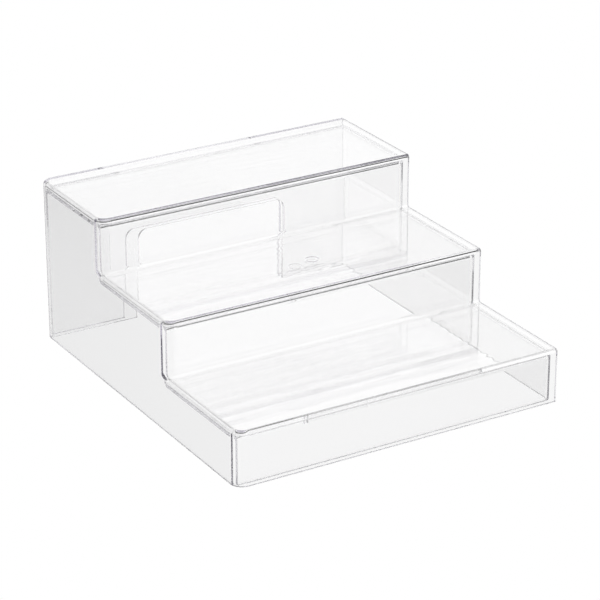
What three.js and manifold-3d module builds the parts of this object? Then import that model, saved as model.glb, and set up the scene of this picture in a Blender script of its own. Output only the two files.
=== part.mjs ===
// Expandable tiered shelf: two clear stepped shells, one nested in the other, that slide apart to widen it.
// Millimetres. X runs along the slide, Y from front to back, Z up, from under the middle of the closed shelf.

import * as THREE from 'three';
import { mergeVertices } from 'three/addons/utils/BufferGeometryUtils.js';
import Module from 'manifold-3d';

// Overall sizes of the closed shelf
const closedWidth = 220;
const tierCount = 3;
const treadDepth = 82;
const riserHeight = 35.2;

// Walls of the two mouldings
const outerWall = 2.5;
const innerWall = 2.5;

// Room between the two mouldings: on the sliding faces, and from the inner one's open end to the outer one
const slideClearance = 2.4;
const endClearance = 0.3;

// Outside radius of the upright corners at each moulding's closed end, and how much tighter they are inside
const outerCornerRadius = 8;
const innerCornerRadius = 5;
const cornerTightening = 0.5;

// Rounding of each tread's edges outside and inside, and of the foot of each riser where it meets a tread
const edgeRadius = 2;
const insideEdgeRadius = 1.2;
const footRadius = 2;

// Grip notch in each back wall, open at the floor: its width, and how far right of the middle it is centred
const outerNotchWidth = 114;
const outerNotchOffset = 3.5;
const innerNotchWidth = 107;
const innerNotchOffset = 7;
const notchHeight = 61;
const notchCornerRadius = 6;

// Straight pieces in a quarter round: of an edge, and in pairs of an upright corner and of a riser's foot
const edgeSteps = 4;
const cornerPairs = 6;
const footPairs = 3;

// How far a cut runs past the face that it opens, and how deep a fillet is rooted in its walls
const cutPast = 5;
const filletRoot = 1;

const shelfDepth = tierCount * treadDepth;
const innerInset = outerWall + slideClearance;

// How far the round inside an upright corner reaches out from the end wall where the inner plate runs past it
const insideRound = Math.max(outerCornerRadius - outerWall - cornerTightening, 0);
const plateToRound = Math.max(insideRound - slideClearance, 0);
const roundReach = insideRound - Math.sqrt(insideRound ** 2 - plateToRound ** 2);

const outerSpan = { left: -closedWidth / 2, right: closedWidth / 2 };
const innerSpan = { left: outerSpan.left + outerWall + roundReach + endClearance, right: outerSpan.right };

const wasm = await Module();
wasm.setup();

function toSolid(geometry) {
  const bare = geometry.clone();
  bare.deleteAttribute('normal');
  bare.deleteAttribute('uv');
  const merged = mergeVertices(bare, 1e-4);
  const vertProperties = new Float32Array(merged.attributes.position.array);
  const triVerts = new Uint32Array(merged.index.array);
  return new wasm.Manifold(new wasm.Mesh({ numProp: 3, vertProperties, triVerts }));
}

function toGeometry(solid) {
  const mesh = solid.getMesh();
  const geometry = new THREE.BufferGeometry();
  geometry.setAttribute('position', new THREE.BufferAttribute(mesh.vertProperties, 3));
  geometry.setIndex(new THREE.BufferAttribute(mesh.triVerts, 1));
  geometry.computeVertexNormals();
  return geometry;
}

// A plan outline that is square at its open end and has two rounded corners at its closed end.
// towards is -1 where the closed end is on the left and 1 where it is on the right.
function planOutline({ openX, closedX, front, back, radius, towards }) {
  const outline = new THREE.Shape();
  const roundX = closedX - towards * radius;
  const clockwise = towards < 0;
  const closedAngle = clockwise ? Math.PI : 0;
  outline.moveTo(openX, front);
  outline.lineTo(roundX, front);
  if (radius > 0) {
    outline.absarc(roundX, front + radius, radius, -Math.PI / 2, closedAngle, clockwise);
    outline.absarc(roundX, back - radius, radius, closedAngle, Math.PI / 2, clockwise);
  } else {
    outline.lineTo(closedX, back);
  }
  outline.lineTo(openX, back);
  outline.closePath();
  return outline;
}

// One tier of the stair, carried up from under the floor to its tread, whose edge is a quarter round.
function tierPrism(outline, top, edge) {
  const prism = new THREE.ExtrudeGeometry(outline, {
    depth: top - edge + cutPast,
    bevelEnabled: true,
    bevelThickness: edge,
    bevelSize: edge,
    bevelOffset: -edge,
    bevelSegments: edgeSteps,
    curveSegments: cornerPairs,
  });
  prism.translate(0, 0, -cutPast);
  return toSolid(prism);
}

// The hollow quarter-round section that fills a riser's foot: out from the riser, up from the tread.
function footSection(foot, outFrom) {
  const section = new THREE.Shape();
  section.moveTo(outFrom - filletRoot, -filletRoot);
  section.lineTo(outFrom + foot, -filletRoot);
  section.lineTo(outFrom + foot, 0);
  section.absarc(outFrom + foot, foot, foot, -Math.PI / 2, Math.PI, true);
  section.lineTo(outFrom - filletRoot, foot);
  section.closePath();
  return section;
}

// The fillet along one riser's foot: a straight run, and a ring about the upright corner's own axis.
function footFillet({ openX, closedX, front, tread, radius, towards, foot }) {
  const roundX = closedX - towards * radius;
  const run = new THREE.ExtrudeGeometry(footSection(foot, 0), {
    depth: Math.abs(openX - roundX),
    bevelEnabled: false,
    curveSegments: footPairs,
  });
  run.rotateX(Math.PI / 2);
  run.rotateZ(-Math.PI / 2);
  run.translate(Math.max(openX, roundX), front, tread);
  let fillet = toSolid(run);
  if (radius > filletRoot) {
    const profile = footSection(foot, radius).getPoints(footPairs);
    const ring = new THREE.LatheGeometry(profile, 8 * cornerPairs);
    ring.rotateX(Math.PI / 2);
    ring.translate(roundX, front + radius, tread);
    fillet = fillet.add(toSolid(ring));
  }
  return fillet;
}

// What a moulding's stair may fill: nothing under the floor level given, or past its two ends.
function trimBlock(openX, closedX, floor) {
  const height = tierCount * riserHeight - floor;
  const trim = new THREE.BoxGeometry(Math.abs(closedX - openX), 2 * shelfDepth, height);
  trim.translate((openX + closedX) / 2, 0, floor + height / 2);
  return toSolid(trim);
}

// A stair of tiers with rounded edges and filleted feet: inset draws every face in and lowers every tread.
function steppedBlock({ openX, closedX, inset, radius, edge, foot, floor }) {
  const towards = Math.sign(closedX - openX);
  const past = openX - towards * (edge + cutPast);
  const back = shelfDepth / 2 - inset;
  let block = null;
  for (let tier = 0; tier < tierCount; tier += 1) {
    const front = tier * treadDepth - shelfDepth / 2 + inset;
    const tread = tier * riserHeight - inset;
    const outline = planOutline({ openX: past, closedX, front, back, radius, towards });
    const prism = tierPrism(outline, tread + riserHeight, edge);
    block = block ? block.add(prism) : prism;
    if (tier > 0) {
      block = block.add(footFillet({ openX: past, closedX, front, tread, radius, towards, foot }));
    }
  }
  return block.intersect(trimBlock(openX, closedX, floor));
}

// The cut that makes a grip notch: an arch with rounded upper corners, run through the back wall.
function notchCut(middleX, width, backFace, wall) {
  const half = width / 2;
  const springing = notchHeight - notchCornerRadius;
  const arch = new THREE.Shape();
  arch.moveTo(-half, -cutPast);
  arch.lineTo(half, -cutPast);
  arch.lineTo(half, springing);
  arch.absarc(half - notchCornerRadius, springing, notchCornerRadius, 0, Math.PI / 2, false);
  arch.absarc(notchCornerRadius - half, springing, notchCornerRadius, Math.PI / 2, Math.PI, false);
  arch.closePath();
  const cut = new THREE.ExtrudeGeometry(arch, {
    depth: wall + 2 * cutPast,
    bevelEnabled: false,
    curveSegments: cornerPairs,
  });
  cut.rotateX(Math.PI / 2);
  cut.translate(middleX, backFace + cutPast, 0);
  return toSolid(cut);
}

// One moulding: a stair with its closed end, open at the floor and at the other end, and notched at the back.
function shelfShell({ openX, closedX, inset, wall, radius, notchWidth, notchOffset }) {
  const towards = Math.sign(closedX - openX);
  const outside = steppedBlock({
    openX,
    closedX,
    inset,
    radius,
    edge: edgeRadius,
    foot: footRadius,
    floor: 0,
  });
  const hollow = steppedBlock({
    openX: openX - towards * cutPast,
    closedX: closedX - towards * wall,
    inset: inset + wall,
    radius: Math.max(radius - wall - cornerTightening, 0),
    edge: insideEdgeRadius,
    foot: footRadius + wall,
    floor: -cutPast,
  });
  const notch = notchCut(notchOffset, notchWidth, shelfDepth / 2 - inset, wall);
  return toGeometry(outside.subtract(hollow).subtract(notch));
}

function clearPlastic(name) {
  return new THREE.MeshStandardMaterial({
    name,
    color: 0xf4f6f8,
    roughness: 0.04,
    metalness: 0,
    transparent: true,
    opacity: 0.3,
  });
}

function outerShelf() {
  const geometry = shelfShell({
    openX: outerSpan.right,
    closedX: outerSpan.left,
    inset: 0,
    wall: outerWall,
    radius: outerCornerRadius,
    notchWidth: outerNotchWidth,
    notchOffset: outerNotchOffset,
  });
  const mesh = new THREE.Mesh(geometry, clearPlastic('outer_clear_plastic'));
  mesh.name = 'outer_shelf';
  return mesh;
}

function innerShelf() {
  const geometry = shelfShell({
    openX: innerSpan.left,
    closedX: innerSpan.right,
    inset: innerInset,
    wall: innerWall,
    radius: innerCornerRadius,
    notchWidth: innerNotchWidth,
    notchOffset: innerNotchOffset,
  });
  const mesh = new THREE.Mesh(geometry, clearPlastic('inner_clear_plastic'));
  mesh.name = 'inner_shelf';
  return mesh;
}

const tieredShelf = new THREE.Group();
tieredShelf.name = 'expandable_tiered_shelf';
tieredShelf.add(outerShelf());
tieredShelf.add(innerShelf());

export default tieredShelf;
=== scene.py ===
import math

import bmesh
import bpy
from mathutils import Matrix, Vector


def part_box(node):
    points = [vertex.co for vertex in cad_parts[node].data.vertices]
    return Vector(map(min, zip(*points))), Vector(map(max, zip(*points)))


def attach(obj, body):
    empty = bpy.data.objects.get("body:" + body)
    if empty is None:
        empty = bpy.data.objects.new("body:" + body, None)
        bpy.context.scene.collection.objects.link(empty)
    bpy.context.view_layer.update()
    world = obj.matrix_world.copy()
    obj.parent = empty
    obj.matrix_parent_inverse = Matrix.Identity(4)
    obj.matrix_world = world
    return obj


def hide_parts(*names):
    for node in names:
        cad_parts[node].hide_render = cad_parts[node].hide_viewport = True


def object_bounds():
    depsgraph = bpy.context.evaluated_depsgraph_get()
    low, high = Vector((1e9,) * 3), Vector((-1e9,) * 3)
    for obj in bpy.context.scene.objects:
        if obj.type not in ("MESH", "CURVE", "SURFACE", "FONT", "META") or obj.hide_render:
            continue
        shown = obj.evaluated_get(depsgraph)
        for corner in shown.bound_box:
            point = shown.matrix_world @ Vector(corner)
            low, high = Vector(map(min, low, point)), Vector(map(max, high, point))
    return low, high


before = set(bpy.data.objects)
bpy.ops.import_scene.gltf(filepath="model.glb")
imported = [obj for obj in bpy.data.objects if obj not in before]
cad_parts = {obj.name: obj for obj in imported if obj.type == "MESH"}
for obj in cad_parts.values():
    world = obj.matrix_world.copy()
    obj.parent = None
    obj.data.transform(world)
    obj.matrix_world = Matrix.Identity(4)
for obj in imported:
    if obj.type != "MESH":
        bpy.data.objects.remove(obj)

cadLow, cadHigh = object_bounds()
mm = 0.001
print("frame loaded, CAD box in mm:", [round(side / mm, 1) for side in cadHigh - cadLow])


# The stair that both mouldings share
stair = {
    "tierCount": 3,
    "treadDepth": (cadHigh.y - cadLow.y) / 3,
    "riserHeight": (cadHigh.z - cadLow.z) / 3,
    "edgeSteps": 10,  # facets in the round of a tread's edge
    "footSteps": 8,  # facets in the fillet at a riser's foot
    "cornerSteps": 18,  # facets in the round of an upright corner
    "brimSteps": 8,  # facets in the round of the closed end's edge
}


def quarterTurn(steps):
    return [math.pi / 2 * k / steps for k in range(steps + 1)]


# How far a face stands in from its own plane near a rounded corner; out is measured off that face
def cornerInset(radius, along, out=0.0):
    if along >= radius:
        return -out
    return radius - math.sqrt(max((radius + out) ** 2 - (radius - along) ** 2, 0.0))


# One skin of a moulding, drawn in from its outside by inset
def makeSkin(piece, inset, rounds):
    low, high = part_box(piece["node"])
    return dict(
        rounds,
        front=low.y + inset,
        back=high.y - inset,
        floor=low.z,
        tread=high.z - inset - (stair["tierCount"] - 1) * stair["riserHeight"],
    )


# A point on the round of a tread's edge: how far in and down from riser and tread; it ends at the brim
def edgePoint(skin, along, angle, sink):
    out = -skin["edge"] * (1 - math.cos(angle))
    drop = skin["edge"] * (1 - math.sin(angle)) if -out <= along else sink
    return cornerInset(skin["corner"], along, out), drop


# The stair line of a skin, front floor to back floor, at a distance along from the skin's closed end
def stairLine(skin, along):
    foot, corner, brim = skin["foot"], skin["corner"], skin["brim"]
    sink = brim - math.sqrt(brim ** 2 - (brim - along) ** 2) if along < brim else 0.0
    edgeAngles = quarterTurn(stair["edgeSteps"])
    points = [(skin["front"] + cornerInset(corner, along), skin["floor"])]
    for tier in range(stair["tierCount"]):
        riser = skin["front"] + tier * stair["treadDepth"]
        tread = skin["tread"] + tier * stair["riserHeight"]
        if tier > 0:
            for angle in quarterTurn(stair["footSteps"]):
                out = foot * (1 - math.sin(angle))
                rise = foot * (1 - math.cos(angle)) - sink
                treadBelow = tread - stair["riserHeight"]
                points.append((riser + cornerInset(corner, along, out), treadBelow + rise))
        for angle in edgeAngles:
            inward, drop = edgePoint(skin, along, angle, sink)
            points.append((riser + inward, tread - drop))
    for angle in reversed(edgeAngles):
        inward, drop = edgePoint(skin, along, angle, sink)
        points.append((skin["back"] - inward, tread - drop))
    points.append((skin["back"] - cornerInset(corner, along), skin["floor"]))
    return points


# Stations along a skin: over the brim of the closed end, round the upright corner, then to the open end
def stations(skin, length):
    overBrim = [skin["brim"] * (1 - math.cos(angle)) for angle in quarterTurn(stair["brimSteps"])]
    roundCorner = [skin["corner"] * (1 - math.cos(angle)) for angle in quarterTurn(stair["cornerSteps"])]
    return overBrim + [along for along in roundCorner if along > skin["brim"]] + [length]


# A closed moulding: an outside skin, an inside skin, and the rims between them
def mouldShell(piece):
    low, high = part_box(piece["node"])
    closedX, way = (low.x, 1) if piece["closedEnd"] == "left" else (high.x, -1)
    length = high.x - low.x
    shell = bmesh.new()
    skins = []
    for inset, rounds in ((0.0, piece["outside"]), (piece["wall"], piece["inside"])):
        skin = makeSkin(piece, inset, rounds)
        rows = []
        for along in stations(skin, length - inset):
            x = closedX + way * (inset + along)
            rows.append([shell.verts.new((x, y, z)) for y, z in stairLine(skin, along)])
        skins.append(rows)
        for rowA, rowB in zip(rows, rows[1:]):
            for k in range(len(rowA) - 1):
                shell.faces.new((rowA[k], rowA[k + 1], rowB[k + 1], rowB[k]))
        shell.faces.new(rows[0])
    outside, inside = skins
    for k in range(len(outside[-1]) - 1):  # rim of the open end
        shell.faces.new((outside[-1][k], outside[-1][k + 1], inside[-1][k + 1], inside[-1][k]))
    floorRim = [row[0] for row in reversed(outside)] + [row[-1] for row in outside]
    floorRim += [row[-1] for row in reversed(inside)] + [row[0] for row in inside]
    shell.faces.new(floorRim)
    samePoint = 0.001 * mm  # points meet where a tread's edge ends at the brim
    bmesh.ops.remove_doubles(shell, verts=shell.verts, dist=samePoint)
    bmesh.ops.recalc_face_normals(shell, faces=shell.faces)
    return shell


def toObject(name, shape):
    mesh = bpy.data.meshes.new(name)
    shape.to_mesh(mesh)
    shape.free()
    made = bpy.data.objects.new(name, mesh)
    bpy.context.scene.collection.objects.link(made)
    return made


cuts = {
    "past": 4 * mm,  # how far a notch's cutter runs past the wall and the floor
    "notchSteps": 10,  # facets in a notch's upper corner
    "gateAround": 48,  # facets of a gate's ring, around it and across its groove
    "gateAcross": 16,
}


# The arch that is cut from a back wall for the grip
def notchCutter(piece):
    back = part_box(piece["node"])[1].y
    half, radius = piece["notchWidth"] / 2, piece["notchCorner"]
    middle, past = piece["notchMiddle"], cuts["past"]
    springing = piece["notchHeight"] - radius
    outline = [(-half, -past), (half, -past)]
    for angle in quarterTurn(cuts["notchSteps"]):
        outline.append((half - radius + radius * math.cos(angle), springing + radius * math.sin(angle)))
    for angle in quarterTurn(cuts["notchSteps"]):
        outline.append((radius - half - radius * math.sin(angle), springing + radius * math.cos(angle)))
    cutter = bmesh.new()
    nearFace = [cutter.verts.new((middle + x, back - piece["wall"] - past, z)) for x, z in outline]
    farFace = [cutter.verts.new((middle + x, back + past, z)) for x, z in outline]
    cutter.faces.new(nearFace)
    cutter.faces.new(farFace)
    for k in range(len(outline)):
        after = (k + 1) % len(outline)
        cutter.faces.new((nearFace[k], nearFace[after], farFace[after], farFace[k]))
    bmesh.ops.recalc_face_normals(cutter, faces=cutter.faces)
    return toObject("cutter", cutter)


# The shallow ring groove that the moulding gate leaves on the middle tread
def gateCutter(piece):
    x, y = piece["gateAt"]
    groove = piece["gateGroove"]
    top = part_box(piece["node"])[1].z
    level = top - stair["riserHeight"] + groove - piece["gateDepth"]
    around, across = cuts["gateAround"], cuts["gateAcross"]
    ring = bmesh.new()
    rows = []
    for k in range(around):
        turn = 2 * math.pi * k / around
        row = []
        for j in range(across):
            tip = 2 * math.pi * j / across
            out = piece["gateRadius"] + groove * math.cos(tip)
            spot = (x + out * math.cos(turn), y + out * math.sin(turn), level + groove * math.sin(tip))
            row.append(ring.verts.new(spot))
        rows.append(row)
    for k in range(around):
        rowA, rowB = rows[k], rows[(k + 1) % around]
        for j in range(across):
            after = (j + 1) % across
            ring.faces.new((rowA[j], rowA[after], rowB[after], rowB[j]))
    bmesh.ops.recalc_face_normals(ring, faces=ring.faces)
    return toObject("cutter", ring)


def cutAway(made, cutter):
    cut = made.modifiers.new("cut", "BOOLEAN")
    cut.operation = "DIFFERENCE"
    cut.solver = "EXACT"
    cut.object = cutter
    bakeModifiers(made)
    bpy.data.objects.remove(cutter)


def bakeModifiers(made):
    graph = bpy.context.evaluated_depsgraph_get()
    mesh = bpy.data.meshes.new_from_object(made.evaluated_get(graph))
    made.modifiers.clear()
    made.data = mesh


rims = {
    "facets": 2,
    "sharperThan": 50,  # degrees; gentler edges are rounds already
}


def softenRims(made, radius):
    bevel = made.modifiers.new("rims", "BEVEL")
    bevel.width = radius
    bevel.segments = rims["facets"]
    bevel.limit_method = "ANGLE"
    bevel.angle_limit = math.radians(rims["sharperThan"])
    bevel.use_clamp_overlap = False
    bakeModifiers(made)
    for face in made.data.polygons:
        face.use_smooth = True
    weigh = made.modifiers.new("flats", "WEIGHTED_NORMAL")
    weigh.mode = "FACE_AREA"
    weigh.keep_sharp = False


# A socket that can stand in Python sums; node() adds any other node
class Wire:
    def __init__(self, tree, socket=None):
        self.tree = tree
        self.socket = socket

    def node(self, kind, settings, sockets, out=0):
        made = self.tree.nodes.new(kind)
        for name, value in settings.items():
            setattr(made, name, value)
        for name, value in sockets.items():
            if isinstance(value, Wire):
                self.tree.links.new(value.socket, made.inputs[name])
            else:
                made.inputs[name].default_value = value
        return Wire(self.tree, made.outputs[out] if made.outputs else None)

    def math(self, operation, first, second):
        return self.node("ShaderNodeMath", {"operation": operation}, {0: first, 1: second})

    def dot(self, vector, fixed):
        settings = {"operation": "DOT_PRODUCT"}
        return self.node("ShaderNodeVectorMath", settings, {0: vector, 1: fixed}, "Value")

    def fade(self, value, start, end, amount):
        sockets = {"Value": value, "From Min": start, "From Max": end, "To Min": 0.0, "To Max": amount}
        return self.node("ShaderNodeMapRange", {"interpolation_type": "SMOOTHSTEP"}, sockets)

    def __add__(self, other):
        return self.math("ADD", self, other)

    def __radd__(self, other):
        return self.math("ADD", other, self)

    def __sub__(self, other):
        return self.math("SUBTRACT", self, other)

    def __rsub__(self, other):
        return self.math("SUBTRACT", other, self)

    def __mul__(self, other):
        return self.math("MULTIPLY", self, other)

    def __rmul__(self, other):
        return self.math("MULTIPLY", other, self)


def clearPlastic(piece):
    look = piece["plastic"]
    material = bpy.data.materials.new(piece["slot"])
    material.use_nodes = True
    tree = material.node_tree
    tree.nodes.clear()
    wire = Wire(tree)
    place = wire.node("ShaderNodeTexCoord", {}, {}, "Object")
    flow = wire.node("ShaderNodeTexNoise", {}, dict(look["waveNoise"], Vector=place))
    scuff = wire.node("ShaderNodeTexNoise", {}, dict(look["scuffNoise"], Vector=place))
    tint = wire.node(
        "ShaderNodeMix",
        {"data_type": "RGBA"},
        {"Factor": flow, 6: look["colour"], 7: look["colourDeep"]},
        2,
    )
    roughness = look["roughness"] + look["scuff"] * scuff
    along = wire.node("ShaderNodeMapping", {}, {"Vector": place, "Scale": look["streakScale"]})
    streak = wire.node("ShaderNodeTexNoise", {}, {"Vector": along, "Scale": 1.0, "Detail": 1.0})
    facing = wire.node("ShaderNodeNewGeometry", {}, {}, "Normal")
    up = wire.dot(facing, (0, 0, 1))
    height = look["wave"] * flow + look["streak"] * up * up * streak
    for mark in look["pinMarks"]:
        settings = {"operation": "DISTANCE"}
        apart = wire.node("ShaderNodeVectorMath", settings, {0: place, 1: mark}, "Value")
        height = height - wire.fade(apart, look["pinRim"], look["pinFlat"], look["pinDepth"])
    bump = wire.node("ShaderNodeBump", {}, {"Strength": 1.0, "Distance": 1.0 * mm, "Height": height})
    plastic = wire.node(
        "ShaderNodeBsdfPrincipled",
        {},
        {
            "Base Color": tint,
            "Roughness": roughness,
            "IOR": look["ior"],
            "Transmission Weight": 1.0,
            "Normal": bump,
        },
    )
    inDepth = {"Color": look["depthColour"], "Density": look["depth"]}
    depth = wire.node("ShaderNodeVolumeAbsorption", {}, inDepth)
    wire.node("ShaderNodeOutputMaterial", {}, {"Surface": plastic, "Volume": depth})
    return material


outerShelf = {
    "name": "outerShelf",
    "node": "outer_shelf",
    "body": "outer",
    "slot": "outer_clear_plastic",
    "closedEnd": "left",
    "wall": 2.5 * mm,
    "outside": {"corner": 8 * mm, "edge": 2 * mm, "brim": 1.8 * mm, "foot": 2 * mm},
    "inside": {"corner": 5 * mm, "edge": 1.2 * mm, "brim": 0.9 * mm, "foot": 4.5 * mm},
    "rimRadius": 0.3 * mm,
    "notchMiddle": 3.5 * mm,
    "notchWidth": 114 * mm,
    "notchHeight": 61 * mm,
    "notchCorner": 6 * mm,
    "gateAt": (12.0 * mm, -2.1 * mm),
    "gateRadius": 4 * mm,
    "gateGroove": 1.2 * mm,
    "gateDepth": 0.25 * mm,
    "plastic": {
        "colour": (0.985, 0.985, 0.985, 1),
        "colourDeep": (0.98, 0.98, 0.98, 1),
        "ior": 1.52,
        "depthColour": (0.4, 0.36, 0.5, 1),
        "depth": 4.0,  # per metre of plastic, so only the long runs of light inside a wall go dark
        "roughness": 0.0,
        "scuff": 0.01,
        "scuffNoise": {"Scale": 160.0, "Detail": 4.0},
        "wave": 0.05,  # heights in mm: slow waves, and finer streaks that run along the treads
        "waveNoise": {"Scale": 14.0, "Detail": 2.0, "Distortion": 1.2},
        "streak": 0.06,
        "streakScale": (18, 110, 18),
        "pinMarks": [  # where ejector pins pushed on the treads
            (6.2 * mm, 102.1 * mm, 105.6 * mm),
            (76.0 * mm, 84.5 * mm, 105.6 * mm),
            (-66.8 * mm, 0.6 * mm, 70.4 * mm),
            (3.3 * mm, -72.3 * mm, 35.2 * mm),
        ],
        "pinDepth": 0.02,  # in mm
        "pinFlat": 2 * mm,
        "pinRim": 5 * mm,
    },
}

innerShelf = dict(
    outerShelf,
    name="innerShelf",
    node="inner_shelf",
    body="inner",
    slot="inner_clear_plastic",
    closedEnd="right",
    outside=dict(outerShelf["outside"], corner=5 * mm),
    inside=dict(outerShelf["inside"], corner=2 * mm),
    notchMiddle=7 * mm,
    notchWidth=107 * mm,
    gateAt=(1.4 * mm, 0.1 * mm),
    gateDepth=0.35 * mm,
    plastic=dict(outerShelf["plastic"], depth=1.0, pinMarks=[]),
)


def addShelf(piece):
    made = toObject(piece["name"], mouldShell(piece))
    cutAway(made, notchCutter(piece))
    cutAway(made, gateCutter(piece))
    softenRims(made, piece["rimRadius"])
    made.data.materials.append(clearPlastic(piece))
    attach(made, piece["body"])
    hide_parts(piece["node"])
    print(piece["name"], "made with", len(made.data.polygons), "faces")


addShelf(outerShelf)
addShelf(innerShelf)


studio = {
    "lens": 157.4,
    "sensor": 36.0,
    "seenFrom": 0.01,
    "seenTo": 100.0,
    "aimAt": (0.0047, 0.0, 0.0442),
    "distance": 1.6052,
    "yaw": 30.872,
    "pitch": 23.768,
    "floorSize": 40.0,
    "floorGap": 0.05 * mm,  # under the shelf
    "floorLevel": 1.0,
    "shadeDepth": 0.45,  # how far the floor dims past the left of the picture
    "shadeStart": 0.19,  # sideways from the middle of the picture, at the shelf
    "shadeSpan": 0.2,
    "room": 0.285,
    # Degrees: azimuth runs from the front to the right, and a lamp fades between its last two angles.
    # A strength below zero is a dark card.
    "lamps": [
        {"azimuth": 53, "elevation": 51, "strength": 1.2, "full": 15, "gone": 62},
        {"azimuth": 149, "elevation": 13, "strength": 0.8, "full": 12, "gone": 45},
        {"azimuth": 153, "elevation": 54, "strength": -1.46, "full": 20, "gone": 27},
        {"azimuth": 0, "elevation": -90, "strength": -0.29, "full": 60, "gone": 90},
    ],
    "bounces": 96,  # light runs far along the walls before it leaves a rim
}


def addFloor():
    shape = bmesh.new()
    half = studio["floorSize"] / 2
    corners = [(-half, -half), (half, -half), (half, half), (-half, half)]
    level = cadLow.z - studio["floorGap"]
    shape.faces.new([shape.verts.new((x, y, level)) for x, y in corners])
    floor = toObject("floor", shape)
    material = bpy.data.materials.new("paleFloor")
    material.use_nodes = True
    material.node_tree.nodes.clear()
    wire = Wire(material.node_tree)
    yaw = math.radians(studio["yaw"])
    place = wire.node("ShaderNodeTexCoord", {}, {}, "Object")
    ahead = wire.dot(place, (math.sin(yaw), math.cos(yaw), 0))
    sideways = wire.dot(place, (math.cos(yaw), -math.sin(yaw), 0))
    widening = studio["shadeStart"] / studio["distance"]
    past = 0 - sideways - widening * (ahead + studio["distance"])
    shade = wire.fade(past, 0.0, studio["shadeSpan"], studio["shadeDepth"])
    glow = wire.node("ShaderNodeEmission", {}, {"Color": studio["floorLevel"] - shade})
    wire.node("ShaderNodeOutputMaterial", {}, {"Surface": glow})
    material.cycles.emission_sampling = "NONE"
    floor.data.materials.append(material)
    floor.visible_glossy = False  # mirrored on the plastic, the room is darker than the floor


def addCamera():
    yaw, pitch = math.radians(studio["yaw"]), math.radians(studio["pitch"])
    flat = math.cos(pitch)
    look = Vector((math.sin(yaw) * flat, math.cos(yaw) * flat, -math.sin(pitch)))
    data = bpy.data.cameras.new("photoCamera")
    data.sensor_width = studio["sensor"]
    data.lens = studio["lens"]
    data.clip_start, data.clip_end = studio["seenFrom"], studio["seenTo"]
    camera = bpy.data.objects.new("photoCamera", data)
    camera.location = Vector(studio["aimAt"]) - look * studio["distance"]
    camera.rotation_euler = look.to_track_quat("-Z", "Y").to_euler()
    bpy.context.scene.collection.objects.link(camera)
    bpy.context.scene.camera = camera


def addLight():
    world = bpy.data.worlds.new("studioWorld")
    world.use_nodes = True
    world.node_tree.nodes.clear()
    wire = Wire(world.node_tree)
    way = wire.node("ShaderNodeTexCoord", {}, {}, "Generated")
    level = studio["room"]
    for lamp in studio["lamps"]:
        azimuth, elevation = math.radians(lamp["azimuth"]), math.radians(lamp["elevation"])
        flat = math.cos(elevation)
        lampWay = (math.sin(azimuth) * flat, -math.cos(azimuth) * flat, math.sin(elevation))
        towards = wire.dot(way, lampWay)
        gone, full = math.cos(math.radians(lamp["gone"])), math.cos(math.radians(lamp["full"]))
        level = level + wire.fade(towards, gone, full, lamp["strength"])
    level = wire.math("MAXIMUM", level, 0.0)
    sky = wire.node("ShaderNodeBackground", {}, {"Color": (1, 1, 1, 1), "Strength": level})
    wire.node("ShaderNodeOutputWorld", {}, {"Surface": sky})
    bpy.context.scene.world = world


addFloor()
addCamera()
addLight()
scene = bpy.context.scene
scene.view_settings.view_transform = "Standard"
scene.cycles.max_bounces = studio["bounces"]
scene.cycles.transmission_bounces = studio["bounces"]
scene.cycles.glossy_bounces = studio["bounces"]
print("studio set")
